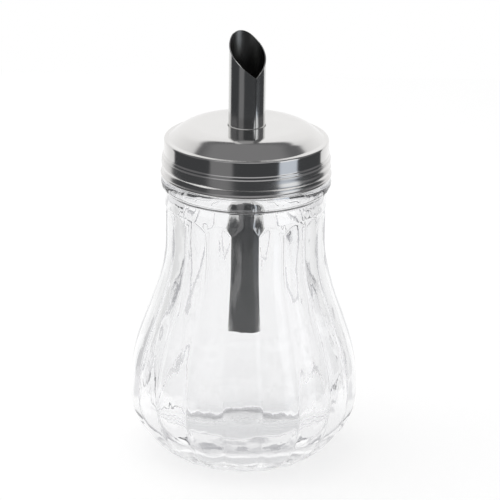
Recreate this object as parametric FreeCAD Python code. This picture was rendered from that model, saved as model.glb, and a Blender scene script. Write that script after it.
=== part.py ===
# Sugar dispenser: a lobed glass jar, a screw lid of sheet steel and a rolled steel pour tube.
#
# Millimetres, +Z up. The origin is the centre of the jar's foot, on the surface it stands on.
# The front of the dispenser faces -Y. A radius is measured from the upright axis of the jar.
import FreeCAD, Part
import math
import os
from FreeCAD import Vector

# ---------------------------------------------------------------- driving dimensions
TOTAL_HEIGHT = 165.0        # from the foot to the tip of the pour tube

# Glass body. Its radii are measured over the crests of the lobes.
LOBES = 18                  # convex lobes round the body, one of them facing front
GROOVE_DEPTH = 1.4          # from a lobe's crest down to the groove beside it
FOOT_RADIUS = 27.3
BELLY_RADIUS = 43.8
BELLY_HEIGHT = 27.5
WAIST_RADIUS = 30.4
WAIST_LENGTH = 12.8         # straight part of the body, down from the tops of the arches
HEEL_FULLNESS = 2.35        # a larger value fills the curve from foot to belly
HEEL_FLARE = 0.92           # a smaller value makes the curve leave the foot flatter
WALL = 3.0                  # glass thickness at a crest
FLOOR_HEIGHT = 8.0          # thickness of the heavy glass bottom
FLOOR_SETBACK = 2.8         # from the foot's edge in to the flat part of the inside floor
PUNT_DEPTH = 2.4            # hollow under the foot
FOOT_LAND = 2.6             # width of the ring that the jar stands on

# Smooth neck, collar and finish above the lobes
ARCH_HEIGHT = 4.0           # rise of the round arch that ends each lobe
NECK_SWELL = 0.15           # how far the smooth neck stands out past the crests
SWELL_DROP = 0.28           # share of the crease's depth that the neck has lost half way up to it
CREASE_RISE = 5.4           # from the tops of the arches up to the crease under the collar
CREASE_DEPTH = 1.2          # from the swollen neck in to that crease
COLLAR_RISE = 3.9           # from the crease up to the collar's widest circle
COLLAR_STANDOUT = 1.95      # collar past the finish, and the radius of its round shoulder
FINISH_SETBACK = 0.25       # from the lobes' crests at the waist in to the finish
RIM_ROUND = 0.9             # rounding of the glass rim

# Screw lid, all of one sheet
SHEET = 0.45
LID_RISE = 5.1              # from the ledge up to the flat top
SHOULDER_WIDTH = 12.5       # from the outside of the plain band in to the flat part of the top
DOME_BEND = 12.0            # rounding between the flat top and the slope of the dome
DOME_SLOPE = 38.0           # degrees below level
LEDGE_BEND = 0.8            # rounding where the dome meets the ledge, and at the lid's corner
BAND_HEIGHT = 5.6           # plain band, from the ledge down to the upper step
STEP_OUT = 0.36             # each of the two steps below the band
STEP_HEIGHT = 1.15
STEP_RUN = 0.5              # height over which a step moves out
STEP_BEND = 0.55
THREAD_BAND_HEIGHT = 6.2    # band with the rolled thread, from the lower step to the curl
THREAD_BAND_SWELL = 0.2
CURL_RADIUS = 0.65          # section of the curled lower edge
HOLE_BEND = 0.65            # rounded mouth of the hole for the tube
HOLE_COLLAR = 3.2           # depth of the turned-down collar that grips the tube

# Pour tube, rolled from sheet with a butt seam
TUBE_RADIUS = 6.95
TUBE_WALL = 0.45
TUBE_LENGTH = 116.0
TUBE_REACH = 34.95          # from the lid's flat top up to the tip
CUT_DEPTH = 15.4            # from the tip down to the notch at the seam
CUT_ROUND = 0.25            # share of each half turn that the rounded tip takes
SEAM_ANGLE = 28.0           # degrees from front, towards +X

# Clearances
SEAT_CLEARANCE = 0.1        # glass rim to the underside of the lid's ledge
FINISH_CLEARANCE = 0.5      # glass finish to the inside of the lid's band
TUBE_CLEARANCE = 0.05       # tube to the collar of the hole
CURL_CLEARANCE = 0.65       # the glass collar's shoulder to the lid's curled edge above it

# How the shapes are drawn
HEEL_RINGS = 6              # outlines between the foot or the floor and the belly
HEEL_CROWDING = 1.7         # above 1 the outlines crowd towards the foot, where the curve turns fast
FLARE_RINGS = 8             # outlines between the belly and the waist
PUNT_RINGS = (1.0, 0.78, 0.36)  # outlines of the hollow, as shares of its radius
CUT_POINTS = 24             # points along each half of the slanting cut
OVERLAP = 1.0               # how far one shape runs past another that it cuts or joins
LOBE_OVERRUN = 0.4          # how far the lobes run on inside the smooth neck
NEAR = 0.01                 # edges this close to the rim's height belong to the rim

FULL_TURN = 360.0
UP = Vector(0.0, 0.0, 1.0)
AXIS_POINT = Vector(0.0, 0.0, 0.0)

# Values that follow from the driving dimensions
top_height = TOTAL_HEIGHT - TUBE_REACH
ledge_height = top_height - LID_RISE
rim_height = ledge_height - SHEET - SEAT_CLEARANCE
step_one = ledge_height - BAND_HEIGHT
step_two = step_one - STEP_HEIGHT
curl_top = step_two - THREAD_BAND_HEIGHT
shoulder_height = curl_top - 2.0 * CURL_RADIUS - CURL_CLEARANCE
collar_height = shoulder_height - COLLAR_STANDOUT
crease_height = collar_height - COLLAR_RISE
arch_top = crease_height - CREASE_RISE
waist_height = arch_top - WAIST_LENGTH
tube_bottom = TOTAL_HEIGHT - TUBE_LENGTH
floor_radius = FOOT_RADIUS - FLOOR_SETBACK
mouth_radius = WAIST_RADIUS - WALL
neck_radius = WAIST_RADIUS + NECK_SWELL
finish_radius = WAIST_RADIUS - FINISH_SETBACK
collar_radius = finish_radius + COLLAR_STANDOUT
lid_radius = finish_radius + FINISH_CLEARANCE + SHEET
top_radius = lid_radius - SHOULDER_WIDTH


# ---------------------------------------------------------------- small helpers
def at(radius, height):
    """A point of a profile that is revolved about the jar's axis."""
    return Vector(radius, 0.0, height)


def line(start, end):
    return Part.LineSegment(start, end).toShape()


def smooth_curve(points):
    curve = Part.BSplineCurve()
    curve.interpolate(points)
    return curve.toShape()


def turned(edges):
    """The solid that a closed outline makes when it is turned about the jar's axis."""
    face = Part.Face(Part.Wire(edges))
    return face.revolve(AXIS_POINT, UP, FULL_TURN)


def steps(start, end, count, crowding=1.0):
    """Values from start to end, both included. Crowding above 1 draws them towards the start."""
    return [start + (end - start) * (index / count) ** crowding for index in range(count + 1)]


# ---------------------------------------------------------------- glass jar
def heel_curve(share):
    """Rise of the heel's curve, from 0 at the foot or floor to 1 at the belly."""
    return (1.0 - (1.0 - share) ** HEEL_FULLNESS) ** HEEL_FLARE


def body_radius(height, low_radius, low_height, wall):
    """Radius of the body's outer or inner surface: heel, belly, flare and straight waist."""
    belly = BELLY_RADIUS - wall
    waist = WAIST_RADIUS - wall
    if height <= BELLY_HEIGHT:
        share = (height - low_height) / (BELLY_HEIGHT - low_height)
        return low_radius + (belly - low_radius) * heel_curve(share)
    share = min(1.0, (height - BELLY_HEIGHT) / (waist_height - BELLY_HEIGHT))
    return waist + (belly - waist) * 0.5 * (1.0 + math.cos(math.pi * share))


def crest_radius(height):
    return body_radius(height, FOOT_RADIUS, 0.0, 0.0)


def lobed_outline(crest, height):
    """A closed ring of convex arcs that meet in sharp grooves."""
    half_step = math.pi / LOBES
    groove = crest - GROOVE_DEPTH
    arcs = []
    for index in range(LOBES):
        middle = -0.5 * math.pi + 2.0 * half_step * index
        ends = [Vector(groove * math.cos(middle + side * half_step),
                       groove * math.sin(middle + side * half_step), height) for side in (-1, 1)]
        top = Vector(crest * math.cos(middle), crest * math.sin(middle), height)
        arcs.append(Part.Arc(ends[0], top, ends[1]).toShape())
    return Part.Wire(arcs)


def lobed_body():
    """The lobed body, lofted through lobed rings from the foot into the smooth neck."""
    heel = steps(0.0, BELLY_HEIGHT, HEEL_RINGS, HEEL_CROWDING)
    flare = steps(BELLY_HEIGHT, waist_height, FLARE_RINGS)
    heights = heel + flare[1:] + [arch_top + LOBE_OVERRUN]
    return Part.makeLoft([lobed_outline(crest_radius(z), z) for z in heights], True, False)


def smooth_neck():
    """The smooth neck, its crease, the round collar and the finish that the lid screws onto.

    The neck's lower cone comes out through the lobes, which gives every lobe a round arch.
    """
    slope = GROOVE_DEPTH / ARCH_HEIGHT
    cone_low = at(WAIST_RADIUS - GROOVE_DEPTH - slope * OVERLAP, arch_top - ARCH_HEIGHT - OVERLAP)
    cone_high = at(WAIST_RADIUS, arch_top)
    crease = at(neck_radius - CREASE_DEPTH, crease_height)
    swell_height = arch_top + NECK_SWELL / slope
    swell = at(neck_radius, swell_height)
    swell_mid = at(neck_radius - SWELL_DROP * CREASE_DEPTH, 0.5 * (swell_height + crease_height))

    depth = collar_radius - crease.x
    round_under = (COLLAR_RISE ** 2 + depth ** 2) / (2.0 * depth)
    half_turn = 0.5 * math.asin(COLLAR_RISE / round_under)
    under_mid = at(collar_radius - round_under * (1.0 - math.cos(half_turn)),
                   collar_height - round_under * math.sin(half_turn))
    equator = at(collar_radius, collar_height)
    shoulder_centre = at(finish_radius, collar_height)
    shoulder_mid = shoulder_centre + at(math.cos(math.pi / 4), math.sin(math.pi / 4)) * COLLAR_STANDOUT
    shoulder = at(finish_radius, shoulder_height)
    rim = at(finish_radius, rim_height)
    edges = [
        line(at(0.0, cone_low.z), cone_low),
        line(cone_low, cone_high),
        line(cone_high, swell),
        Part.Arc(swell, swell_mid, crease).toShape(),
        Part.Arc(crease, under_mid, equator).toShape(),
        Part.Arc(equator, shoulder_mid, shoulder).toShape(),
        line(shoulder, rim),
        line(rim, at(0.0, rim_height)),
        line(at(0.0, rim_height), at(0.0, cone_low.z)),
    ]
    return turned(edges)


def jar_inside():
    """The smooth hollow of the jar, from its thick floor to above the rim."""
    heel = steps(FLOOR_HEIGHT, BELLY_HEIGHT, HEEL_RINGS, HEEL_CROWDING)
    heights = heel + steps(BELLY_HEIGHT, waist_height, FLARE_RINGS)[1:]
    wall = [at(body_radius(z, floor_radius, FLOOR_HEIGHT, WALL), z) for z in heights]
    top = rim_height + OVERLAP
    return turned([
        line(at(0.0, FLOOR_HEIGHT), wall[0]),
        smooth_curve(wall),
        line(wall[-1], at(mouth_radius, top)),
        line(at(mouth_radius, top), at(0.0, top)),
        line(at(0.0, top), at(0.0, FLOOR_HEIGHT)),
    ])


def fluted_punt():
    """The hollow under the foot. The lobes run on into it and meet round its middle."""
    outer = FOOT_RADIUS - FOOT_LAND
    inmost = PUNT_RINGS[-1]
    rings = [lobed_outline(outer * share, PUNT_DEPTH * (1.0 - share ** 2) / (1.0 - inmost ** 2))
             for share in PUNT_RINGS]
    return Part.makeLoft(rings, True, False)


def glass_jar():
    body = lobed_body().fuse(smooth_neck())
    jar = body.cut(jar_inside()).cut(fluted_punt())
    rim = [edge for edge in jar.Edges
           if edge.BoundBox.ZMin > rim_height - NEAR and edge.Length > math.pi * mouth_radius]
    return jar.makeFillet(RIM_ROUND, rim)


# ---------------------------------------------------------------- screw lid
def bent_path(corners, bends):
    """Straight runs through the corners, with a tangent arc of the given radius at each bend."""
    edges = []
    last = corners[0]
    for index in range(1, len(corners) - 1):
        corner = corners[index]
        back = (corners[index - 1] - corner).normalize()
        ahead = (corners[index + 1] - corner).normalize()
        inner_angle = back.getAngle(ahead)
        reach = bends[index] / math.tan(0.5 * inner_angle)
        toward = (back + ahead).normalize()
        start = corner + back * reach
        end = corner + ahead * reach
        middle = corner + toward * (bends[index] / math.sin(0.5 * inner_angle) - bends[index])
        edges.append(line(last, start))
        edges.append(Part.Arc(start, middle, end).toShape())
        last = end
    edges.append(line(last, corners[-1]))
    return edges, corners[0], corners[-1]


def inside_of(corners, bends, thickness):
    """The same path on the sheet's other side, on the right of the direction of travel."""
    count = len(corners)
    runs = [(corners[i + 1] - corners[i]).normalize() for i in range(count - 1)]
    sides = [Vector(run.z, 0.0, -run.x) for run in runs]
    moved = [corners[0] + sides[0] * thickness]
    radii = [0.0]
    for index in range(1, count - 1):
        before, after = sides[index - 1], sides[index]
        moved.append(corners[index] + (before + after) * (thickness / (1.0 + before.dot(after))))
        turns_right = runs[index - 1].dot(after) < 0.0
        radii.append(bends[index] + (thickness if not turns_right else -thickness))
    moved.append(corners[-1] + sides[-1] * thickness)
    radii.append(0.0)
    return moved, radii


def screw_lid():
    """One sheet: hole collar, flat top, dome, ledge, plain band, two steps, thread band, curl."""
    hole = TUBE_RADIUS + TUBE_CLEARANCE
    slope = math.radians(DOME_SLOPE)
    dome_corner = top_radius + DOME_BEND * math.tan(0.5 * slope)
    dome_foot = dome_corner + LID_RISE / math.tan(slope)
    thread_radius = lid_radius + 2.0 * STEP_OUT
    corners = [
        at(hole, top_height - HOLE_COLLAR),
        at(hole, top_height),
        at(dome_corner, top_height),
        at(dome_foot, ledge_height),
        at(lid_radius, ledge_height),
        at(lid_radius, step_one),
        at(lid_radius + STEP_OUT, step_one - STEP_RUN),
        at(lid_radius + STEP_OUT, step_two),
        at(thread_radius, step_two - STEP_RUN),
        at(thread_radius + THREAD_BAND_SWELL, 0.5 * (step_two + curl_top)),
        at(thread_radius, curl_top - CURL_RADIUS),
    ]
    bends = [0.0, HOLE_BEND, DOME_BEND, LEDGE_BEND, LEDGE_BEND] + 4 * [STEP_BEND] + [DOME_BEND, 0.0]
    other_side, other_bends = inside_of(corners, bends, SHEET)
    top_side, first, last = bent_path(corners, bends)
    under_side, first_under, last_under = bent_path(other_side, other_bends)
    outline = top_side + [line(last, last_under)] + under_side[::-1] + [line(first_under, first)]
    sheet = turned(outline)
    curl_centre = at(thread_radius - 0.5 * SHEET, curl_top - CURL_RADIUS)
    curl = turned([Part.Circle(curl_centre, Vector(0.0, 1.0, 0.0), CURL_RADIUS).toShape()])
    return sheet.fuse(curl).removeSplitter()


# ---------------------------------------------------------------- pour tube
def cut_height(share):
    """Height of the slanting cut, from 0 at the seam to 1 half a turn away at the tip.

    On the flat sheet the cut is straight and ends in a parabola that is level at the tip.
    """
    slope = 2.0 / (2.0 - CUT_ROUND)
    if share < 1.0 - CUT_ROUND:
        return TOTAL_HEIGHT - CUT_DEPTH * (1.0 - slope * share)
    return TOTAL_HEIGHT - CUT_DEPTH * slope * (1.0 - share) ** 2 / (2.0 * CUT_ROUND)


def cut_edge(radius, side):
    """The cut's line at one radius, from the seam round one side to the tip."""
    seam = math.radians(SEAM_ANGLE - 90.0)
    points = []
    for share in steps(0.0, 1.0, CUT_POINTS):
        angle = seam + side * math.pi * share
        points.append(Vector(radius * math.cos(angle), radius * math.sin(angle), cut_height(share)))
    return smooth_curve(points)


def pour_tube():
    """A tube whose upper end is cut to a slant, with a notch at the seam and a rounded tip."""
    length = TOTAL_HEIGHT + OVERLAP - tube_bottom
    bottom = Vector(0.0, 0.0, tube_bottom)
    bore = TUBE_RADIUS - TUBE_WALL
    tube = Part.makeCylinder(TUBE_RADIUS, length, bottom).cut(Part.makeCylinder(bore, length, bottom))
    for side in (-1, 1):
        rails = [Part.Wire(cut_edge(radius, side)) for radius in (bore - OVERLAP, TUBE_RADIUS + OVERLAP)]
        ramp = Part.makeLoft(rails, False, True)
        tube = tube.cut(ramp.Faces[0].extrude(UP * (CUT_DEPTH + 2.0 * OVERLAP)))
    return tube


# ---------------------------------------------------------------- files
def main():
    os.makedirs("parts", exist_ok=True)
    pieces = {"glass_jar": glass_jar(), "screw_lid": screw_lid(), "pour_tube": pour_tube()}
    for name, shape in pieces.items():
        shape.exportStep(os.path.join("parts", name + ".step"))
        print(name, "valid", shape.isValid(), "solids", len(shape.Solids),
              "volume %.0f mm3" % shape.Volume)


main()
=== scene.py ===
# %% [markdown]
# # A sugar dispenser in glass and polished steel
#
# The dispenser has three pieces: a pear-shaped glass jar with upright lobes, a screw lid
# pressed from sheet steel, and a pour tube that is rolled from the same sheet and cut to a
# slant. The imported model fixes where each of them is. This lesson dresses that model: every
# piece is made again with finer shapes, and gets a finish worked out in shader nodes.

# %% Load the fixed model
import math

import bpy
from mathutils import Matrix, Vector


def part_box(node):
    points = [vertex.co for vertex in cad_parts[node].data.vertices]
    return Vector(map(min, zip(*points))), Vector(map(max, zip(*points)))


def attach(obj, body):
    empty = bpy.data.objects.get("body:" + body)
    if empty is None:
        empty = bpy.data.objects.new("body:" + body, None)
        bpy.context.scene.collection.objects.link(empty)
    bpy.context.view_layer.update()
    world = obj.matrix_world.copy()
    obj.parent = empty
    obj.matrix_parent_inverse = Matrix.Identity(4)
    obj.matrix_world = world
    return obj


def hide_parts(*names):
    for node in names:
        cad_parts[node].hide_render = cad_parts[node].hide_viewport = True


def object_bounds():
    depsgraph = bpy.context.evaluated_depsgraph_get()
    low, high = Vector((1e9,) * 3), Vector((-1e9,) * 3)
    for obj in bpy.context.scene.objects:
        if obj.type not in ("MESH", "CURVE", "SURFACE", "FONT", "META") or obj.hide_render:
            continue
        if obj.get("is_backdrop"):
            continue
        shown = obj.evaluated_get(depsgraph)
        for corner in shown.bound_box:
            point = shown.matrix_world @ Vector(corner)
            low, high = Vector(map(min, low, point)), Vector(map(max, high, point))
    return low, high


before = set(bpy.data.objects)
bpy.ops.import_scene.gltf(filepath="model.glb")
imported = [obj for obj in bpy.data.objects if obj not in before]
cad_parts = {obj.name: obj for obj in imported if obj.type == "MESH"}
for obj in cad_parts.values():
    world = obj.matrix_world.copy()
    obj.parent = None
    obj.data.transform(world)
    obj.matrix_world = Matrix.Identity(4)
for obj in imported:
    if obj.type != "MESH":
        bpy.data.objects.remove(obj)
model_low, model_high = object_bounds()
jar_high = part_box("glass_jar")[1]
lid_low, lid_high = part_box("screw_lid")
tube_low, tube_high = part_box("pour_tube")
print("nodes:", sorted(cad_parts))
print("height of the dispenser: %.1f mm" % (1000 * model_high.z))

# %% [markdown]
# ## Writing nodes as sums
#
# A node tree is easier to read as a sum than as a row of boxes. One small class wraps a
# socket, so that `1 - mask` adds a Math node by itself. Its method `node` adds any other
# node: the settings go in first, because they decide which sockets the node has.

# %% A socket that takes part in sums
class Wire:
    """One socket of a node tree. Sums on it add Math nodes to the tree."""

    def __init__(self, tree, socket=None):
        self.tree = tree
        self.socket = socket

    def node(self, kind, settings=None, sockets=None, output=0):
        """Adds a node, its settings first, then values or links for its sockets."""
        made = self.tree.nodes.new(kind)
        for name, value in (settings or {}).items():
            setattr(made, name, value)
        for name, value in (sockets or {}).items():
            if isinstance(value, Wire):
                self.tree.links.new(value.socket, made.inputs[name])
            else:
                made.inputs[name].default_value = value
        return Wire(self.tree, made.outputs[output])

    def other(self, output):
        """Another output of the same node."""
        return Wire(self.tree, self.socket.node.outputs[output])

    def maths(self, operation, *values):
        """A Math node on numbers or other wires."""
        return self.node("ShaderNodeMath", {"operation": operation}, dict(enumerate(values)))

    def __add__(self, value):
        return self.maths("ADD", self, value)

    def __radd__(self, value):
        return self.maths("ADD", value, self)

    def __sub__(self, value):
        return self.maths("SUBTRACT", self, value)

    def __rsub__(self, value):
        return self.maths("SUBTRACT", value, self)

    def __mul__(self, value):
        return self.maths("MULTIPLY", self, value)

    def __rmul__(self, value):
        return self.maths("MULTIPLY", value, self)

    def __truediv__(self, value):
        return self.maths("DIVIDE", self, value)


print("the socket class is ready")

# %% [markdown]
# ## The jar's outline
#
# The glass is pressed in a mould. Its outline starts in the hollow under the foot, goes over
# the foot, swells to the belly, narrows to the neck, and ends in a round collar and the
# finish that the lid screws onto. The inside follows it at the thickness of the wall, down
# to the heavy floor. A list of rows holds that outline. Each row has a radius over the
# lobes' crests, a height, the depth of the grooves there, the radius of the smooth neck
# that comes out through the lobes, and how uneven the surface is.

# %% Sizes of the jar
MM = 0.001
LOBES = 18
GROOVE = 1.4 * MM
INNER_GROOVE = 0.6 * MM
BELLY_RADIUS = jar_high.y
BELLY_HEIGHT = 27.5 * MM
FOOT_RADIUS = 27.3 * MM
WAIST_RADIUS = 30.4 * MM
WAIST_HEIGHT = 86.0 * MM
HEEL_FULLNESS = 2.35
HEEL_FLARE = 0.92
WALL = 3.0 * MM
FLOOR_RADIUS = 24.5 * MM
FLOOR_HEIGHT = 8.0 * MM
PUNT_RADIUS = 24.7 * MM
PUNT_DEPTH = 2.4 * MM
LAND_WIDTH = 1.7 * MM
LAND_RADIUS = PUNT_RADIUS + LAND_WIDTH
FOOT_EDGE_HEIGHT = 0.46 * MM
FOOT_EDGE_WIDTH = 1.75 * MM
ARCH_HEIGHT = 4.0 * MM
ARCH_TOP = 98.8 * MM
LOBE_OVERRUN = 0.4 * MM
NECK_RADIUS = 30.55 * MM
NECK_BULGE = 0.34 * MM
CREASE_RADIUS = 29.35 * MM
CREASE_HEIGHT = 104.2 * MM
COLLAR_RADIUS = 32.1 * MM
COLLAR_HEIGHT = 108.1 * MM
FINISH_RADIUS = 30.15 * MM
COLLAR_SHOULDER = COLLAR_RADIUS - FINISH_RADIUS
FINISH_FOOT = 112.0 * MM
RIM_HEIGHT = jar_high.z
RIM_ROUND = 0.9 * MM
print("belly radius %.2f mm, rim at %.1f mm" % (BELLY_RADIUS / MM, RIM_HEIGHT / MM))


# %% Curves of the body
def heel(share):
    """Rise of the heel's curve, from 0 at the foot or the floor to 1 at the belly."""
    return (1.0 - (1.0 - share) ** HEEL_FULLNESS) ** HEEL_FLARE


def body_radius(height, low_radius, low_height, wall):
    """Radius of the outer or inner surface: heel, belly, flare and straight waist."""
    belly = BELLY_RADIUS - wall
    waist = WAIST_RADIUS - wall
    if height <= BELLY_HEIGHT:
        return low_radius + (belly - low_radius) * heel((height - low_height) / (BELLY_HEIGHT - low_height))
    share = min(1.0, (height - BELLY_HEIGHT) / (WAIST_HEIGHT - BELLY_HEIGHT))
    return waist + (belly - waist) * 0.5 * (1.0 + math.cos(math.pi * share))


def spread(start, end, count, power=1.0):
    """Values from start to end. A power above 1 crowds them at the start."""
    return [start + (end - start) * (index / count) ** power for index in range(count + 1)]


def arc(centre, radius, start, end, count):
    """Points on an arc of the outline, angles in degrees from level."""
    turns = [math.radians(angle) for angle in spread(start, end, count)]
    return [(centre[0] + radius * math.cos(t), centre[1] + radius * math.sin(t)) for t in turns]


def round_through(start, middle, end, count):
    """Points on the circle through three points."""
    a, b, c = (Vector(point) for point in (start, middle, end))
    d = 2 * (a.x * (b.y - c.y) + b.x * (c.y - a.y) + c.x * (a.y - b.y))
    ux = (a.dot(a) * (b.y - c.y) + b.dot(b) * (c.y - a.y) + c.dot(c) * (a.y - b.y)) / d
    uy = (a.dot(a) * (c.x - b.x) + b.dot(b) * (a.x - c.x) + c.dot(c) * (b.x - a.x)) / d
    centre = Vector((ux, uy))
    first = math.degrees(math.atan2(a.y - uy, a.x - ux))
    last = math.degrees(math.atan2(c.y - uy, c.x - ux))
    if last - first > 180:
        last -= 360
    if last - first < -180:
        last += 360
    return arc(centre, (a - centre).length, first, last, count)


half_way = 0.5 * (BELLY_HEIGHT + WAIST_HEIGHT)
print("half way up the flare: %.1f mm" % (body_radius(half_way, FOOT_RADIUS, 0, 0) / MM))


# %% Rows of the outside
def cone_radius(height):
    """Radius of the smooth neck where it comes out through the lobes."""
    return WAIST_RADIUS - GROOVE * (ARCH_TOP - height) / ARCH_HEIGHT


def outer_row(radius, height, groove=GROOVE, neck=0.0):
    """One row of the outside, with 0 for the unevenness of the inside."""
    return radius, height, groove, neck, 0.0


rows = []
for radius in spread(0.0, PUNT_RADIUS, 26):
    share = radius / PUNT_RADIUS
    hollow_groove = 0.8 * GROOVE * min(1.0, 3.0 * share)
    rows.append(outer_row(radius, PUNT_DEPTH * (1 - share ** 2) ** 0.8, hollow_groove))
for share in spread(0.0, 1.0, 5)[1:]:
    rows.append(outer_row(PUNT_RADIUS + share * LAND_WIDTH, 0.0))
for share in spread(0.0, 1.0, 6)[1:]:
    across = (LAND_RADIUS + 2 * share * (1 - share) * (FOOT_RADIUS - LAND_RADIUS)
              + share ** 2 * FOOT_EDGE_WIDTH)
    rows.append(outer_row(across, share ** 2 * FOOT_EDGE_HEIGHT))
body_heights = spread(FOOT_EDGE_HEIGHT, BELLY_HEIGHT, 50, 1.15)[1:]
body_heights += spread(BELLY_HEIGHT, WAIST_HEIGHT, 56)[1:]
rows += [outer_row(body_radius(height, FOOT_RADIUS, 0.0, 0.0), height) for height in body_heights]
rows += [outer_row(WAIST_RADIUS, height) for height in spread(WAIST_HEIGHT, ARCH_TOP - ARCH_HEIGHT, 6)[1:]]
for height in spread(ARCH_TOP - ARCH_HEIGHT, ARCH_TOP + LOBE_OVERRUN, 26)[1:]:
    rows.append(outer_row(WAIST_RADIUS, height, GROOVE, cone_radius(height)))
print("rows up to the arches:", len(rows))

# %% Rows of the neck, the collar and the finish
swell = (NECK_RADIUS, ARCH_TOP + (NECK_RADIUS - WAIST_RADIUS) * ARCH_HEIGHT / GROOVE)
crease = (CREASE_RADIUS, CREASE_HEIGHT)
swell_middle = (NECK_RADIUS - NECK_BULGE, 0.5 * (swell[1] + CREASE_HEIGHT))
rise = COLLAR_HEIGHT - CREASE_HEIGHT
depth = COLLAR_RADIUS - CREASE_RADIUS
under = (rise ** 2 + depth ** 2) / (2 * depth)
low_angle = -math.degrees(math.asin(rise / under))
shoulder = (FINISH_RADIUS, COLLAR_HEIGHT)
smooth = round_through(swell, swell_middle, crease, 12)
smooth += arc((COLLAR_RADIUS - under, COLLAR_HEIGHT), under, low_angle, 0.0, 12)[1:]
smooth += arc(shoulder, COLLAR_SHOULDER, 0.0, 88.0, 8)[1:]
smooth += [(FINISH_RADIUS, height) for height in spread(FINISH_FOOT, RIM_HEIGHT - RIM_ROUND, 3)]
mouth = WAIST_RADIUS - WALL
smooth += arc((FINISH_RADIUS - RIM_ROUND, RIM_HEIGHT - RIM_ROUND), RIM_ROUND, 0.0, 90.0, 6)[1:]
smooth += arc((mouth + RIM_ROUND, RIM_HEIGHT - RIM_ROUND), RIM_ROUND, 90.0, 180.0, 6)
smooth += [(mouth, height) for height in spread(RIM_HEIGHT - 2 * MM, WAIST_HEIGHT, 9)]
for height in spread(WAIST_HEIGHT, BELLY_HEIGHT, 40)[1:]:
    smooth.append((body_radius(height, FLOOR_RADIUS, FLOOR_HEIGHT, WALL), height))
for share in spread(1.0, 0.0, 40)[1:]:
    height = FLOOR_HEIGHT + (BELLY_HEIGHT - FLOOR_HEIGHT) * share ** 1.8
    smooth.append((body_radius(height, FLOOR_RADIUS, FLOOR_HEIGHT, WALL), height))
smooth += [(radius, FLOOR_HEIGHT) for radius in spread(FLOOR_RADIUS, 0.0, 12)[1:]]
print("rows of the neck and the inside:", len(smooth))

# %% Rows of the inside carry a trace of the lobes
BELOW_RIM = 4.0 * MM
INNER_FADE = 8.0 * MM
rim_row = max(range(len(smooth)), key=lambda number: smooth[number][1])
for number, (radius, height) in enumerate(smooth):
    if number > rim_row and height < RIM_HEIGHT - BELOW_RIM:
        below_arches = max(0.0, (ARCH_TOP - height) / INNER_FADE)
        softened = INNER_GROOVE * min(1.0, below_arches, radius / FLOOR_RADIUS)
        rows.append((radius, height, softened, 0.0, 1.0))
    else:
        rows.append((radius, height, 0.0, 0.0, 0.0))
print("rows in all:", len(rows))

# %% [markdown]
# ## Turning the outline into a lobed jar
#
# The jar follows one rule all the way round, so Geometry Nodes make it. The outline goes in
# as a line of points that carry the row values. The tree lays out a flat grid, one column
# for each direction round the jar, and bends it into place. In each direction a lobe is an
# arc of a circle, the next lobe is the same arc mirrored, and a smooth maximum joins them in
# a narrow rounded groove. A second smooth maximum lets the plain neck out through the
# lobes, which ends every lobe in a round arch. The columns crowd towards the grooves,
# where the surface turns fastest. The inside of such a jar is never as even as its outside,
# so the rows of the inside carry a flat trace of the lobes and a slow random ripple.

# %% The outline as a line of points
outline_mesh = bpy.data.meshes.new("jar_outline")
outline_mesh.from_pydata([(row[0], 0.0, row[1]) for row in rows],
                         [(index, index + 1) for index in range(len(rows) - 1)], [])
for name, column in (("crest", 0), ("height", 1), ("groove", 2), ("neck", 3), ("inner", 4)):
    values = outline_mesh.attributes.new(name, "FLOAT", "POINT")
    values.data.foreach_set("value", [row[column] for row in rows])
outline_mesh.update()
print("outline points:", len(outline_mesh.vertices))


# %% The tree that bends the grid round the jar
def tree_with(name, inputs):
    """A Geometry Nodes tree with named inputs, and the wire of each input."""
    tree = bpy.data.node_groups.new(name, "GeometryNodeTree")
    tree.interface.new_socket("Geometry", in_out="INPUT", socket_type="NodeSocketGeometry")
    for label, kind in inputs:
        tree.interface.new_socket(label, in_out="INPUT", socket_type=kind)
    tree.interface.new_socket("Geometry", in_out="OUTPUT", socket_type="NodeSocketGeometry")
    given = tree.nodes.new("NodeGroupInput")
    return tree, {socket.name: Wire(tree, socket) for socket in given.outputs if socket.name}


jar_tree, given = tree_with("lobed_jar", [
    ("Rows", "NodeSocketInt"), ("Lobes", "NodeSocketInt"), ("Columns per Lobe", "NodeSocketInt"),
    ("Groove Round", "NodeSocketFloat"), ("Arch Round", "NodeSocketFloat"),
    ("Ripple", "NodeSocketFloat"), ("Ripple Seed", "NodeSocketFloat"), ("Glass", "NodeSocketMaterial")])
start = Wire(jar_tree)
columns = given["Lobes"] * given["Columns per Lobe"]
grid = start.node("GeometryNodeMeshGrid", None,
                  {"Size X": 1.0, "Size Y": 1.0, "Vertices X": columns + 1, "Vertices Y": given["Rows"]})
place = start.node("ShaderNodeSeparateXYZ", None, {0: start.node("GeometryNodeInputPosition")})
row_number = start.maths("ROUND", (place.other("Y") + 0.5) * (given["Rows"] - 1))
turn = start.maths("ROUND", (place.other("X") + 0.5) * columns) / given["Columns per Lobe"]
lobe_number = start.maths("ROUND", turn)
signed = (turn - lobe_number) * 2
aside = start.maths("SINE", signed * (0.5 * math.pi))
half_lobe = start.maths("DIVIDE", math.pi, given["Lobes"])
azimuth = (lobe_number * 2 + aside) * half_lobe


def row_value(name):
    """A value of the outline's point with this row's number."""
    field = start.node("GeometryNodeInputNamedAttribute", {"data_type": "FLOAT"}, {"Name": name})
    return start.node("GeometryNodeSampleIndex", {"data_type": "FLOAT", "domain": "POINT"},
                      {"Geometry": given["Geometry"], "Value": field, "Index": row_number})


crest, level, groove, neck = (row_value(name) for name in ("crest", "height", "groove", "neck"))
print("columns and rows are laid out")

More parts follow.
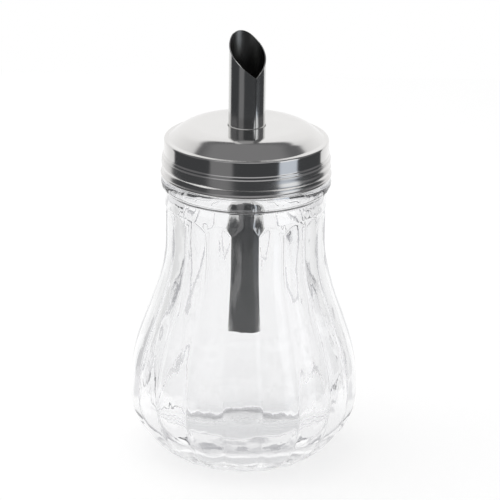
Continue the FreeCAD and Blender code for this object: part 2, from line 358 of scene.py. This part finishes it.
# %% Lobes as arcs, joined by smooth maxima
RIPPLE_BY_HEIGHT = 18.0
FADE_TO_AXIS = 60.0
valley = crest - groove
valley_in = valley * start.maths("COSINE", half_lobe)
arc_centre = (crest * crest - valley * valley) / ((crest - valley_in) * 2)
arc_radius = crest - arc_centre


def lobe_radius(angle):
    """Distance from the jar's axis to a lobe's arc, at an angle from the lobe's middle."""
    across = arc_centre * start.maths("SINE", angle)
    inside = start.maths("MAXIMUM", arc_radius * arc_radius - across * across, 0.0)
    return arc_centre * start.maths("COSINE", angle) + start.maths("SQRT", inside)


from_middle = start.maths("ABSOLUTE", aside) * half_lobe
rounding = given["Groove Round"] * start.maths("MINIMUM", groove / GROOVE, 1.0)
next_lobe = lobe_radius(half_lobe * 2 - from_middle)
lobed = start.maths("SMOOTH_MAX", lobe_radius(from_middle), next_lobe, rounding)
arch_rounding = given["Arch Round"] * start.maths("GREATER_THAN", neck, 0.0)
arched = start.maths("SMOOTH_MAX", lobed, neck, arch_rounding)
around = start.node("ShaderNodeCombineXYZ", None, {
    "X": start.maths("SINE", azimuth), "Y": start.maths("COSINE", azimuth) * -1,
    "Z": level * RIPPLE_BY_HEIGHT})
swirl = start.node("ShaderNodeTexNoise", {"noise_dimensions": "4D"}, {
    "Vector": around, "W": given["Ripple Seed"], "Scale": 4.0, "Detail": 2.0, "Roughness": 0.55})
hollow = start.maths("SMOOTH_MIN", 1.0, crest * FADE_TO_AXIS, 0.2) * row_value("inner")
uneven_radius = arched + (swirl - 0.5) * given["Ripple"] * hollow
bent = start.node("ShaderNodeCombineXYZ", None, {
    "X": uneven_radius * start.maths("SINE", azimuth),
    "Y": uneven_radius * start.maths("COSINE", azimuth) * -1, "Z": level})
moved = start.node("GeometryNodeSetPosition", None, {"Geometry": grid, "Position": bent})
closed = start.node("GeometryNodeMergeByDistance", None, {"Geometry": moved, "Distance": 1e-6})
shaded = start.node("GeometryNodeSetShadeSmooth", None, {"Geometry": closed})
real = start.node("GeometryNodeRealizeInstances", None, {"Geometry": shaded})
dressed = start.node("GeometryNodeSetMaterial", None, {"Geometry": real, "Material": given["Glass"]})
jar_tree.links.new(dressed.socket, jar_tree.nodes.new("NodeGroupOutput").inputs["Geometry"])
print("nodes in the jar's tree:", len(jar_tree.nodes))

# %% [markdown]
# ## Clear glass
#
# The glass is clear and almost free of colour. Its look comes from bending light, with one patch
# of painted shade, so the shader is a smooth transmitting surface at the refractive index of
# soda-lime glass. Moulded glass isn't optically flat: a slow waviness, long upright streaks and
# fine dimples go in as a bump, and the roughness follows the dimples. The underside, up to three
# millimetres above the table, is duller. In the middle of the base the glass's colour is painted
# grey: this is painted shade, standing in for the shade on the floor under the jar.
#
# Two kinds of light go straight through a transparent shader instead. Shadow rays do,
# because a clear jar keeps little light from the floor. So do rays that have been mirrored
# so often inside the glass that the renderer would soon end them and leave black spots.
# Those lose a quarter of their light on the way, except low down in the heel.

# %% A material to build on
def new_material(name):
    """An empty material, the wire that starts its sums, and its output node."""
    material = bpy.data.materials.new(name)
    material.use_nodes = True
    tree = material.node_tree
    tree.nodes.clear()
    return material, Wire(tree), tree.nodes.new("ShaderNodeOutputMaterial")


def noise(pen, point, scale, detail=2.0, roughness=0.5):
    """Smooth noise from 0 to 1 at a number of cycles per metre."""
    return pen.node("ShaderNodeTexNoise", {"noise_dimensions": "3D"},
                    {"Vector": point, "Scale": scale, "Detail": detail, "Roughness": roughness})


def stretched(pen, factors):
    """Object coordinates with each axis scaled, so that noise runs long along the small one."""
    where = pen.node("ShaderNodeTexCoord", output="Object")
    return pen.node("ShaderNodeVectorMath", {"operation": "MULTIPLY"}, {0: where, 1: factors})


def rises(pen, value, low, high):
    """0 where a value is below the first mark, 1 beyond the second, smooth between them."""
    return pen.node("ShaderNodeMapRange", {"interpolation_type": "SMOOTHSTEP"},
                    {"Value": value, "From Min": low, "From Max": high})


# %% The glass and its skin
glass, pen, glass_out = new_material("clear_glass")
waves = noise(pen, stretched(pen, (1.0, 1.0, 0.45)), 70.0, 1.0, 0.4)
dimples = noise(pen, stretched(pen, (1.0, 1.0, 0.8)), 420.0, 2.0, 0.5)
streaks = noise(pen, stretched(pen, (1.0, 1.0, 0.12)), 170.0, 1.0, 0.4)
wavy = pen.node("ShaderNodeBump", None, {
    "Height": waves * 0.9 + dimples * 0.1 + streaks * 1.1, "Strength": 1.0, "Distance": 0.25 * MM})
spot = pen.node("ShaderNodeSeparateXYZ", None, {0: pen.node("ShaderNodeTexCoord", output="Object")})
spot_height = spot.other("Z")
spot_radius = pen.maths("SQRT", spot.other("X") * spot.other("X") + spot.other("Y") * spot.other("Y"))
underside = rises(pen, spot_height, PUNT_DEPTH + 1.0 * MM, PUNT_DEPTH + 0.2 * MM)
in_base = rises(pen, spot_height, FLOOR_HEIGHT + 1.0 * MM, FLOOR_HEIGHT - 3.0 * MM)
in_middle = rises(pen, spot_radius, FLOOR_RADIUS + 3.5 * MM, FLOOR_RADIUS - 1.5 * MM)
# painted shade: the glass's colour turns grey in the middle of the base, in place of the shade on the floor
# under the jar
painted_base_shade = pen.node("ShaderNodeMix", {"data_type": "RGBA"}, {
    0: in_base * in_middle, 6: (0.985, 0.986, 0.99, 1.0), 7: (0.66, 0.665, 0.675, 1.0)}, 2)
body = pen.node("ShaderNodeBsdfPrincipled", None, {
    "Base Color": painted_base_shade, "Roughness": 0.004 + 0.02 * dimples * dimples + 0.30 * underside,
    "IOR": 1.51, "Transmission Weight": 1.0, "Normal": wavy})
print("skin of the glass:", len(glass.node_tree.nodes), "nodes")

# %% Shadow rays and worn-out rays go straight on
MOST_BOUNCES = 9.9
MIRRORING_COUNTS = 2.5
shadow_ray = pen.node("ShaderNodeLightPath", output="Is Shadow Ray")
bounces = shadow_ray.other("Glossy Depth") * MIRRORING_COUNTS + shadow_ray.other("Ray Depth")
worn_out = pen.maths("GREATER_THAN", bounces, MOST_BOUNCES)
grey_pass = pen.node("ShaderNodeBsdfTransparent", None, {"Color": (0.76, 0.76, 0.77, 1.0)})
clear_pass = pen.node("ShaderNodeBsdfTransparent", None, {"Color": (1.0, 1.0, 1.0, 1.0)})
in_heel = rises(pen, spot_height, FLOOR_HEIGHT + 10.0 * MM, FLOOR_HEIGHT + 4.0 * MM)
straight_on = pen.node("ShaderNodeMixShader", None, {0: in_heel, 1: grey_pass, 2: clear_pass})
let_past = pen.node("ShaderNodeBsdfTransparent", None, {"Color": (0.865, 0.865, 0.87, 1.0)})
surface = pen.node("ShaderNodeMixShader", None, {0: worn_out, 1: body, 2: straight_on})
surface = pen.node("ShaderNodeMixShader", None, {0: shadow_ray, 1: surface, 2: let_past})
glass.node_tree.links.new(surface.socket, glass_out.inputs["Surface"])
print("glass nodes:", len(glass.node_tree.nodes))


# %% Run the tree and keep a plain mesh
def run_tree(name, mesh, tree, values):
    """Evaluates a tree on a mesh and returns the result as a plain object at the origin."""
    maker = bpy.data.objects.new(name + "_maker", mesh)
    bpy.context.scene.collection.objects.link(maker)
    modifier = maker.modifiers.new("tree", "NODES")
    modifier.node_group = tree
    identifiers = {item.name: item.identifier for item in tree.interface.items_tree if item.in_out == "INPUT"}
    for label, value in values.items():
        modifier[identifiers[label]] = value
    seen = maker.evaluated_get(bpy.context.evaluated_depsgraph_get())
    plain = bpy.data.meshes.new_from_object(seen)
    maker.modifiers.remove(modifier)
    bpy.data.objects.remove(maker)
    plain.name = name
    piece = bpy.data.objects.new(name, plain)
    bpy.context.scene.collection.objects.link(piece)
    return piece


def enclosed(mesh):
    """Volume inside a closed mesh. It is positive where the faces point outwards."""
    mesh.calc_loop_triangles()
    spots = [vertex.co for vertex in mesh.vertices]
    corners = ((spots[a], spots[b], spots[c]) for a, b, c in (t.vertices for t in mesh.loop_triangles))
    return sum(a.dot(b.cross(c)) for a, b, c in corners) / 6.0


jar = run_tree("jar_of_glass", outline_mesh, jar_tree, {
    "Rows": len(rows), "Lobes": LOBES, "Columns per Lobe": 14,
    "Groove Round": 0.5 * MM, "Arch Round": 0.35 * MM, "Ripple": 0.7 * MM, "Ripple Seed": 3.0,
    "Glass": glass})
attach(jar, "root")
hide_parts("glass_jar")
jar_volume = enclosed(jar.data)
print("jar: %d triangles, %.1f cubic centimetres of glass" % (
    len(jar.data.loop_triangles), 1e6 * jar_volume))

# %% [markdown]
# ## The screw lid
#
# The lid is drawn from one sheet: a collar that grips the tube, a flat top, a low dome, a
# plain band, two small steps, a band with the rolled thread, and a curled edge. All of it
# is round, so its section is turned about the axis. The thread isn't: it is a shallow
# groove that climbs round the band, so each column gets its own small change of radius.

# %% Sizes of the lid
SHEET = 0.45 * MM
LID_RADIUS = 31.1 * MM
TOP_HEIGHT = lid_high.z
TOP_RADIUS = 22.73 * MM
DOME_FOOT_RADIUS = 29.26 * MM
LEDGE_HEIGHT = 124.95 * MM
BAND_FOOT = 119.35 * MM
STEP_OUT = 0.36 * MM
STEP_TOP = 118.85 * MM
STEP_FOOT = 118.2 * MM
THREAD_TOP = 117.7 * MM
HOLE_RADIUS = 7.0 * MM
CURL_RADIUS = 0.65 * MM
THREAD_RADIUS = LID_RADIUS + 2 * STEP_OUT
THREAD_SWELL = 0.2 * MM
CURL_HEIGHT = lid_low.z + CURL_RADIUS
COLLAR_DEPTH = 3.2 * MM
lid_corners = [
    (HOLE_RADIUS, TOP_HEIGHT - COLLAR_DEPTH), (HOLE_RADIUS, TOP_HEIGHT),
    (TOP_RADIUS, TOP_HEIGHT), (DOME_FOOT_RADIUS, LEDGE_HEIGHT), (LID_RADIUS, LEDGE_HEIGHT),
    (LID_RADIUS, BAND_FOOT), (LID_RADIUS + STEP_OUT, STEP_TOP),
    (LID_RADIUS + STEP_OUT, STEP_FOOT), (THREAD_RADIUS, THREAD_TOP),
    (THREAD_RADIUS + THREAD_SWELL, 0.5 * (STEP_FOOT + CURL_HEIGHT)), (THREAD_RADIUS, CURL_HEIGHT)]
lid_bends = [0.0, 0.65 * MM, 12 * MM, 0.8 * MM, 0.8 * MM] + [0.55 * MM] * 4 + [12 * MM, 0.0]
print("lid: outside of the band %.1f mm, top at %.2f mm" % (LID_RADIUS / MM, TOP_HEIGHT / MM))


# %% A path with round bends, and the sheet's other side
def bent_path(corners, bends, fine=10):
    """Points of straight runs through the corners, rounded at each bend."""
    spots = [Vector(corner) for corner in corners]
    points = [spots[0]]
    for before, corner, after, bend in zip(spots, spots[1:], spots[2:], bends[1:]):
        back = (before - corner).normalized()
        ahead = (after - corner).normalized()
        half = 0.5 * back.angle(ahead)
        first = corner + back * (bend / math.tan(half))
        last = corner + ahead * (bend / math.tan(half))
        middle = corner + (back + ahead).normalized() * (bend / math.sin(half) - bend)
        points += [Vector(point) for point in round_through(first, middle, last, fine)]
    return points + [spots[-1]]


def other_side(corners, bends, thickness):
    """The corners and bends of the same path, one sheet further in."""
    spots = [Vector(corner) for corner in corners]
    runs = [(b - a).normalized() for a, b in zip(spots, spots[1:])]
    sides = [Vector((run.y, -run.x)) for run in runs]
    moved = [spots[0] + sides[0] * thickness]
    radii = [0.0]
    for index in range(1, len(spots) - 1):
        before, after = sides[index - 1], sides[index]
        moved.append(spots[index] + (before + after) * (thickness / (1.0 + before.dot(after))))
        radii.append(bends[index] + (thickness if runs[index - 1].dot(after) >= 0.0 else -thickness))
    return moved + [spots[-1] + sides[-1] * thickness], radii + [0.0]


outside = bent_path(lid_corners, lid_bends)
inside = bent_path(*other_side(lid_corners, lid_bends, SHEET))
print("points of the lid's section:", len(outside) + len(inside))


# %% Turn the section and roll the thread
def between(point_a, point_b, longest):
    """Extra points on a long straight run, so that the thread has something to bend."""
    count = max(1, math.ceil((point_b - point_a).length / longest))
    return [point_a.lerp(point_b, index / count) for index in range(count)]


def filled(points, longest):
    """A path with no run between its points longer than a given length."""
    made = []
    for point_a, point_b in zip(points, points[1:]):
        made += between(point_a, point_b, longest)
    return made + [points[-1]]


THREAD_PITCH = 3.1 * MM
THREAD_DEPTH = 0.32 * MM
THREAD_WIDTH = 0.95 * MM
THREAD_START = 116.3 * MM
THREAD_TURNS = 1.35
THREAD_FADE = 0.12
LONGEST_RUN = 0.55 * MM


def thread_dip(height, azimuth):
    """How far the rolled thread presses the sheet in at one place."""
    dip = 0.0
    for lap in (-1, 0, 1, 2):
        along = azimuth / (2 * math.pi) + lap
        if 0.0 <= along <= THREAD_TURNS:
            fade = min(1.0, along / THREAD_FADE, (THREAD_TURNS - along) / THREAD_FADE)
            away = (height - (THREAD_START - THREAD_PITCH * along)) / THREAD_WIDTH
            dip = max(dip, fade * math.exp(-away * away))
    return THREAD_DEPTH * dip


curl_centre = (THREAD_RADIUS - 0.5 * SHEET, CURL_HEIGHT)
meets = math.degrees(math.acos(0.5 * SHEET / CURL_RADIUS))
curl = [Vector(point) for point in arc(curl_centre, CURL_RADIUS, meets, -meets - 180, 22)]
curl_top = curl[0].y
section = [point for point in filled(outside, LONGEST_RUN) if point.y > curl_top or point.x < LID_RADIUS]
section += curl
section += [point for point in filled(inside[::-1], LONGEST_RUN)
            if point.y > curl_top or point.x < 0.9 * LID_RADIUS]
print("the curl meets the band at %.2f mm" % (curl_top / MM))


def turned_mesh(name, section, columns, dip):
    """A closed section turned about the axis, with a change of radius for each place."""
    count = len(section)
    points = []
    for column in range(columns):
        angle = 2 * math.pi * column / columns
        for radius, height in section:
            out = radius - dip(radius, height, angle)
            points.append((out * math.sin(angle), -out * math.cos(angle), height))
    faces = []
    for column in range(columns):
        here, there = column * count, (column + 1) % columns * count
        for index in range(count):
            after = (index + 1) % count
            faces.append((here + index, there + index, there + after, here + after))
    mesh = bpy.data.meshes.new(name)
    mesh.from_pydata(points, [], faces)
    mesh.update()
    return mesh


def lid_dip(radius, height, angle):
    """Only the band below the steps carries the thread."""
    if radius < LID_RADIUS + 0.2 * MM - SHEET or height > THREAD_TOP - 0.1 * MM:
        return 0.0
    return thread_dip(height, angle) * min(1.0, max(0.0, (height - curl_top) / (0.8 * MM)))


LID_COLUMNS = 288
lid_mesh = turned_mesh("lid_of_steel", section, LID_COLUMNS, lid_dip)
if enclosed(lid_mesh) < 0:
    lid_mesh.flip_normals()
lid_mesh.polygons.foreach_set("use_smooth", [True] * len(lid_mesh.polygons))
print("lid: %.2f cubic centimetres of steel, %d faces" % (
    1e6 * enclosed(lid_mesh), len(lid_mesh.polygons)))

# %% [markdown]
# ## Polished steel
#
# Both metal pieces are stainless sheet with a mirror polish. A perfect mirror would look
# false: the polishing wheel leaves very fine scratches round the lid, and drawn sheet keeps
# a slight unevenness that makes reflections swim. Roughness carries the scratches, and a
# very low bump carries the unevenness. The scratches run round the lid but along the tube,
# so the same function takes the direction in which the noise is stretched. The band with
# the thread is rolled after the polish, so it is a little duller.

# %% Steel with polish marks
def polished_steel(name, colour, round_lid, polish):
    """Bright sheet steel. Its polish marks run round the lid, or along the tube."""
    material, pen, out = new_material(name)
    where = pen.node("ShaderNodeTexCoord", output="Object")
    part = pen.node("ShaderNodeSeparateXYZ", None, {0: where})
    x, y, z = part.other("X"), part.other("Y"), part.other("Z")
    reach = pen.maths("SQRT", x * x + y * y)
    turn = pen.maths("ARCTAN2", x, y)
    if round_lid:
        marks_at = pen.node("ShaderNodeCombineXYZ", None, {"X": reach, "Y": turn * 0.002, "Z": z})
    else:
        marks_at = pen.node("ShaderNodeCombineXYZ", None, {"X": turn * 0.007, "Y": 0.0, "Z": z * 0.02})
    marks = noise(pen, marks_at, 9000.0, 3.0, 0.6)
    cloud = noise(pen, where, 120.0, 3.0, 0.55)
    uneven = noise(pen, where, 60.0, 1.0, 0.4)
    roughness = polish + 0.07 * marks * cloud + 0.05 * cloud
    if round_lid:
        roughness = roughness + 0.10 * rises(pen, z, STEP_FOOT + 0.6 * MM, STEP_FOOT)
    tone = pen.node("ShaderNodeMix", {"data_type": "RGBA"}, {
        0: 0.35 * cloud + 0.1 * marks, 6: colour, 7: tuple(0.86 * c for c in colour[:3]) + (1.0,)}, 2)
    relief = pen.node("ShaderNodeBump", None, {
        "Height": uneven * 0.995 + marks * 0.005, "Strength": 1.0, "Distance": 0.12 * MM})
    metal = pen.node("ShaderNodeBsdfPrincipled", None, {
        "Base Color": tone, "Metallic": 1.0, "Roughness": roughness, "Normal": relief})
    material.node_tree.links.new(metal.socket, out.inputs["Surface"])
    return material


lid_steel = polished_steel("lid_steel", (0.80, 0.79, 0.78, 1.0), True, 0.07)
tube_steel = polished_steel("tube_steel", (0.72, 0.72, 0.71, 1.0), False, 0.12)
bare_steel = polished_steel("bare_steel", (0.30, 0.30, 0.29, 1.0), False, 0.30)
lid_mesh.materials.append(lid_steel)
lid = bpy.data.objects.new("lid_of_steel", lid_mesh)
bpy.context.scene.collection.objects.link(lid)
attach(lid, "root")
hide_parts("screw_lid")
print("steel materials:", lid_steel.name, tube_steel.name, bare_steel.name)

# %% [markdown]
# ## The pour tube
#
# The tube is a strip of sheet rolled until its long edges meet. Before rolling, its top was
# cut to a point, so the mouth has a round tip on one side and a notch at the seam on the
# other. The mesh repeats that: it is a strip with two sides, wrapped round the axis from one
# edge of the seam to the other, with every column as tall as the cut is there. The cut
# edges are broken by a hair, which is what catches the light on a real tube. Rolling can't
# bend the last two millimetres beside the seam, so the sheet stays nearly flat there and
# the free end of the tube gets a low ridge. The inside is bare steel and isn't polished.

# %% Sizes of the tube
TUBE_RADIUS = 6.95 * MM
TUBE_WALL = 0.45 * MM
TUBE_BOTTOM = tube_low.z
TUBE_TOP = tube_high.z
CUT_DEPTH = 15.4 * MM
CUT_ROUND = 0.25
SEAM_ANGLE = math.radians(28.0)
SEAM_GAP = 0.14 * MM
EDGE = 0.07 * MM
PEAK_REACH = math.radians(14.0)
PEAK_FREE = lid_high.z + 2 * MM
PEAK_RISE = 8 * MM
TUBE_COLUMNS = 160


def cut_height(share):
    """Height of the slanting cut, from 0 at the seam to 1 at the tip."""
    slope = 2.0 / (2.0 - CUT_ROUND)
    if share < 1.0 - CUT_ROUND:
        return TUBE_TOP - CUT_DEPTH * (1.0 - slope * share)
    return TUBE_TOP - CUT_DEPTH * slope * (1.0 - share) ** 2 / (2.0 * CUT_ROUND)


print("the notch at the seam is at %.1f mm" % (cut_height(0.0) / MM))


# %% Wrap the strip
def peak(turn, height):
    """How far the sheet stands out near the seam, where rolling leaves it nearly flat."""
    from_seam = min(turn, 2 * math.pi - turn)
    if from_seam > PEAK_REACH:
        return 0.0
    free = min(1.0, max(0.0, (height - PEAK_FREE) / PEAK_RISE))
    return TUBE_RADIUS * (1.0 / math.cos(PEAK_REACH - from_seam) - 1.0) * free


def strip_section(top, pinch, turn):
    """A closed section of the wall in one direction: up outside, over the cut, down inside."""
    low, high = TUBE_BOTTOM, top
    outer, inner = TUBE_RADIUS - pinch, TUBE_RADIUS - TUBE_WALL + pinch
    walls = spread(low + EDGE, high - EDGE, 40)
    flat = ([(outer, z) for z in walls] + [(outer - EDGE, high), (inner + EDGE, high)]
            + [(inner, z) for z in reversed(walls)] + [(inner + EDGE, low), (outer - EDGE, low)])
    return [(radius + peak(turn, z), z) for radius, z in flat]


tube_points = []
edge_turn = EDGE / TUBE_RADIUS
first_turn = 0.5 * SEAM_GAP / TUBE_RADIUS
turns = [first_turn] + spread(first_turn + edge_turn, 2 * math.pi - first_turn - edge_turn, TUBE_COLUMNS)
turns += [2 * math.pi - first_turn]
for number, turn in enumerate(turns):
    pinch = EDGE if number in (0, len(turns) - 1) else 0.0
    share = 1.0 - abs(turn / math.pi - 1.0)
    for radius, height in strip_section(cut_height(share), pinch, turn):
        angle = SEAM_ANGLE + turn
        tube_points.append((radius * math.sin(angle), -radius * math.cos(angle), height))
ring = len(strip_section(TUBE_TOP, 0.0, 0.0))
tube_faces = []
for number in range(len(turns) - 1):
    here, there = number * ring, (number + 1) * ring
    for index in range(ring):
        after = (index + 1) % ring
        tube_faces.append((here + index, there + index, there + after, here + after))
last = (len(turns) - 1) * ring
half = (ring - 4) // 2
for index in range(half - 1):
    mirror = ring - 3 - index
    tube_faces.append((index, index + 1, mirror - 1, mirror))
    tube_faces.append((last + mirror, last + mirror - 1, last + index + 1, last + index))
tube_faces.append((half - 1, half, half + 1, half + 2))
tube_faces.append((last + half + 2, last + half + 1, last + half, last + half - 1))
tube_faces.append((0, ring - 3, ring - 2, ring - 1))
tube_faces.append((last + ring - 1, last + ring - 2, last + ring - 3, last))
tube_mesh = bpy.data.meshes.new("tube_of_steel")
tube_mesh.from_pydata(tube_points, [], tube_faces)
tube_mesh.update()
print("tube columns:", len(turns), "points round the wall:", ring)

# %% Finish the tube
if enclosed(tube_mesh) < 0:
    tube_mesh.flip_normals()
tube_mesh.polygons.foreach_set("use_smooth", [True] * len(tube_mesh.polygons))
tube_mesh.set_sharp_from_angle(angle=math.radians(30))
tube_mesh.materials.append(tube_steel)
tube_mesh.materials.append(bare_steel)
for face in tube_mesh.polygons:
    from_axis = face.center.xy
    if from_axis.length < TUBE_RADIUS - 0.6 * TUBE_WALL and from_axis.dot(face.normal.xy) < 0:
        face.material_index = 1
tube = bpy.data.objects.new("tube_of_steel", tube_mesh)
bpy.context.scene.collection.objects.link(tube)
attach(tube, "root")
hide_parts("pour_tube")
print("tube: %.2f cubic centimetres of steel" % (1e6 * enclosed(tube_mesh)))

# %% [markdown]
# ## The studio
#
# Polished steel and clear glass show little of their own: they show the room. So the room
# matters more than the lamps. A white backdrop stands behind the dispenser and reaches up
# to about half way to overhead. The rest of the room is dim, with a grey ceiling, one soft
# light panel at the front right, and a paler patch at the front left. The world shader
# paints that room by direction. The camera itself sees plain white, and the matt floor
# takes an even grey from every side. Rays that come through the glass find the walls
# behind and the upper room paler than mirrored rays do, which keeps the glass light.

# %% A room painted by direction
world = bpy.data.worlds.new("studio")
bpy.context.scene.world = world
world.use_nodes = True
world.node_tree.nodes.clear()
room = Wire(world.node_tree)
ray = room.node("ShaderNodeSeparateXYZ", None, {0: room.node("ShaderNodeTexCoord", output="Generated")})
ray_x, ray_y, ray_z = ray.other("X"), ray.other("Y"), ray.other("Z")
elevation = room.maths("ARCSINE", ray_z) * math.degrees(1.0)
from_back = room.maths("ARCTAN2", ray_x, ray_y) * math.degrees(1.0)
from_front = room.maths("ARCTAN2", ray_x, ray_y * -1) * math.degrees(1.0)
sideways = room.maths("ABSOLUTE", from_front)


def edge(value, at, soft):
    """0 below a value and 1 above it, with a soft edge."""
    return rises(room, value, at - soft, at + soft)


def window(value, span, soft):
    """1 between the two values of a span, with soft edges."""
    return edge(value, span[0], soft) * (1 - edge(value, span[1], soft))


print("directions in", len(world.node_tree.nodes), "nodes")

# %% Where things are in the room, in degrees
BACKDROP, BACKDROP_TOP = (-60.0, 52.0), 49.0
FADING_FROM = 42.0
FRONT_HALF_WIDTH = 62.0
UPPER_ROOM = 34.0
CEILING = 58.0
BEHIND, BEHIND_GAP, BEHIND_TOP = 100.0, (103.0, 112.0), 6.0
PANEL, PANEL_HEIGHTS = (47.0, 76.0), (-30.0, 40.0)
PANEL_BRIGHT_FROM = -10.0
PATCH, PATCH_HEIGHTS = (-51.0, -19.0), (-40.0, 30.0)
backdrop = window(from_back, BACKDROP, 2.5) * (1 - edge(elevation, BACKDROP_TOP, 3.0))
fading = 0.22 * edge(room.maths("ABSOLUTE", from_back), FADING_FROM, 20.0)
above = edge(elevation, 0.0, 4.0)
aside_front = edge(sideways, FRONT_HALF_WIDTH, 12.0)
high = edge(elevation, UPPER_ROOM, 5.0)
behind = edge(sideways, BEHIND, 6.0) * (1 - window(sideways, BEHIND_GAP, 1.5))
behind = behind * (1 - edge(elevation, BEHIND_TOP, 4.0))
ceiling = edge(elevation, CEILING, 6.0)
panel = window(from_front, PANEL, 1.5) * window(elevation, PANEL_HEIGHTS, 4.0)
patch = window(from_front, PATCH, 2.5) * window(elevation, PATCH_HEIGHTS, 6.0)
print("room painted in", len(world.node_tree.nodes), "nodes")


# %% Colours of the room
def shade(below, mask, colour):
    """A colour laid over another where the mask is 1."""
    return room.node("ShaderNodeMix", {"data_type": "RGBA"}, {0: mask, 6: below, 7: colour}, 2)


walls = (0.055, 0.057, 0.06, 1.0)
refracted = room.node("ShaderNodeLightPath", output="Is Transmission Ray")
let_go = room.maths("GREATER_THAN", refracted.other("Transparent Depth"), 0.5)
often_mirrored = room.maths("GREATER_THAN", refracted.other("Glossy Depth"), 1.5)
through = room.maths("MAXIMUM", refracted, let_go * often_mirrored)
colour = shade(walls, above * aside_front, (0.14, 0.14, 0.145, 1.0))
colour = shade(colour, through * behind, (0.9, 0.9, 0.9, 1.0))
colour = shade(colour, high * (1 - aside_front), (0.45, 0.45, 0.46, 1.0))
colour = shade(colour, ceiling, (0.22, 0.22, 0.225, 1.0))
colour = shade(colour, through * high, (0.85, 0.85, 0.86, 1.0))
colour = shade(colour, patch, (0.20, 0.20, 0.205, 1.0))
colour = shade(colour, panel, (0.62, 0.67, 0.74, 1.0))
bright_panel = panel * edge(elevation, PANEL_BRIGHT_FROM, 5.0)
colour = shade(colour, bright_panel, (0.96, 0.98, 1.0, 1.0))
colour = shade(colour, backdrop, (1.0, 1.0, 1.0, 1.0))
colour = shade(colour, backdrop * fading, (0.0, 0.0, 0.0, 1.0))
colour = shade(colour, refracted.other("Is Diffuse Ray"), (0.6, 0.6, 0.6, 1.0))
colour = shade(colour, refracted.other("Is Camera Ray"), (1.0, 1.0, 1.0, 1.0))
sky = room.node("ShaderNodeBackground", None, {"Color": colour, "Strength": 1.0})
world_out = world.node_tree.nodes.new("ShaderNodeOutputWorld")
world.node_tree.links.new(sky.socket, world_out.inputs["Surface"])
print("walls at %.3f, ceiling at 0.22, backdrop at 1" % walls[0])

# %% [markdown]
# ## The floor and the lamp
#
# The floor is white paper. A glow gives it most of its brightness, and the matt part takes
# the dispenser's faint shadow. It ends ten centimetres in front of the axis and sixteen to
# each side, so the glass also shows the dim room beyond its edges. One large lamp hangs
# above it on the left. Neither mirrors nor the glass see the lamp.

# %% A white floor and a soft lamp
floor_mesh = bpy.data.meshes.new("floor")
FLOOR_FRONT, FLOOR_BACK, FLOOR_SIDE = -0.10, 0.5, 0.16
floor_corners = [(-FLOOR_SIDE, FLOOR_FRONT, 0.0), (FLOOR_SIDE, FLOOR_FRONT, 0.0),
                 (FLOOR_SIDE, FLOOR_BACK, 0.0), (-FLOOR_SIDE, FLOOR_BACK, 0.0)]
floor_mesh.from_pydata(floor_corners, [], [(0, 1, 2, 3)])
floor_mesh.update()
floor = bpy.data.objects.new("floor", floor_mesh)
bpy.context.scene.collection.objects.link(floor)
paper, pen, paper_out = new_material("white_paper")
PAPER_GLOW = 0.67
matt = pen.node("ShaderNodeBsdfDiffuse", None, {"Color": (0.36, 0.36, 0.36, 1.0)})
glow = pen.node("ShaderNodeEmission", None, {"Color": (1.0, 1.0, 1.0, 1.0), "Strength": PAPER_GLOW})
both = pen.node("ShaderNodeAddShader", None, {0: matt, 1: glow})
paper.node_tree.links.new(both.socket, paper_out.inputs["Surface"])
floor_mesh.materials.append(paper)
floor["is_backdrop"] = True

lamp = bpy.data.lights.new("soft_lamp", "AREA")
lamp.shape = "SQUARE"
lamp.size = 0.9
lamp.energy = 4.5
lamp_object = bpy.data.objects.new("soft_lamp", lamp)
lamp_object.location = (-0.25, 0.1, 0.9)
lamp_object.rotation_euler = (Vector((0, 0, 0)) - lamp_object.location).to_track_quat("-Z", "Y").to_euler()
lamp_object.visible_glossy = False
lamp_object.visible_transmission = False
bpy.context.scene.collection.objects.link(lamp_object)
print("floor and lamp are in")

# %% [markdown]
# ## The camera
#
# A long lens looks down at the dispenser from 1.4 metres away, at about nineteen degrees
# and with a slight roll.

# %% Place the camera
LENS_LENGTH = 265.06
CAMERA_DISTANCE = 1.4
AIM_ASIDE = 1.85 * MM
AIM_SHARE = 0.48467
camera_data = bpy.data.cameras.new("camera")
camera_data.sensor_width = 36.0
camera_data.lens = LENS_LENGTH
camera = bpy.data.objects.new("camera", camera_data)
bpy.context.scene.collection.objects.link(camera)
aim = Vector((0.5 * (model_low.x + model_high.x) + AIM_ASIDE, 0.0, model_high.z * AIM_SHARE))
look_down = math.radians(19.3)
roll = math.radians(0.754)
back = Vector((0.0, -math.cos(look_down), math.sin(look_down)))
right = Vector((1.0, 0.0, 0.0))
up = back.cross(right)
tilted_right = math.cos(roll) * right + math.sin(roll) * up
tilted_up = math.cos(roll) * up - math.sin(roll) * right
turned = Matrix((tilted_right, tilted_up, back)).transposed().to_4x4()
camera.matrix_world = Matrix.Translation(aim + back * CAMERA_DISTANCE) @ turned
bpy.context.scene.camera = camera
bpy.context.scene.view_settings.view_transform = "Standard"
print("camera at", [round(value, 3) for value in camera.location])

# %% Compare the boxes and finish
seen_low, seen_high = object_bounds()
print("boxes differ by at most %.2f mm" % (1000 * max(
    abs(a - b) for pair in ((model_low, seen_low), (model_high, seen_high)) for a, b in zip(*pair))))
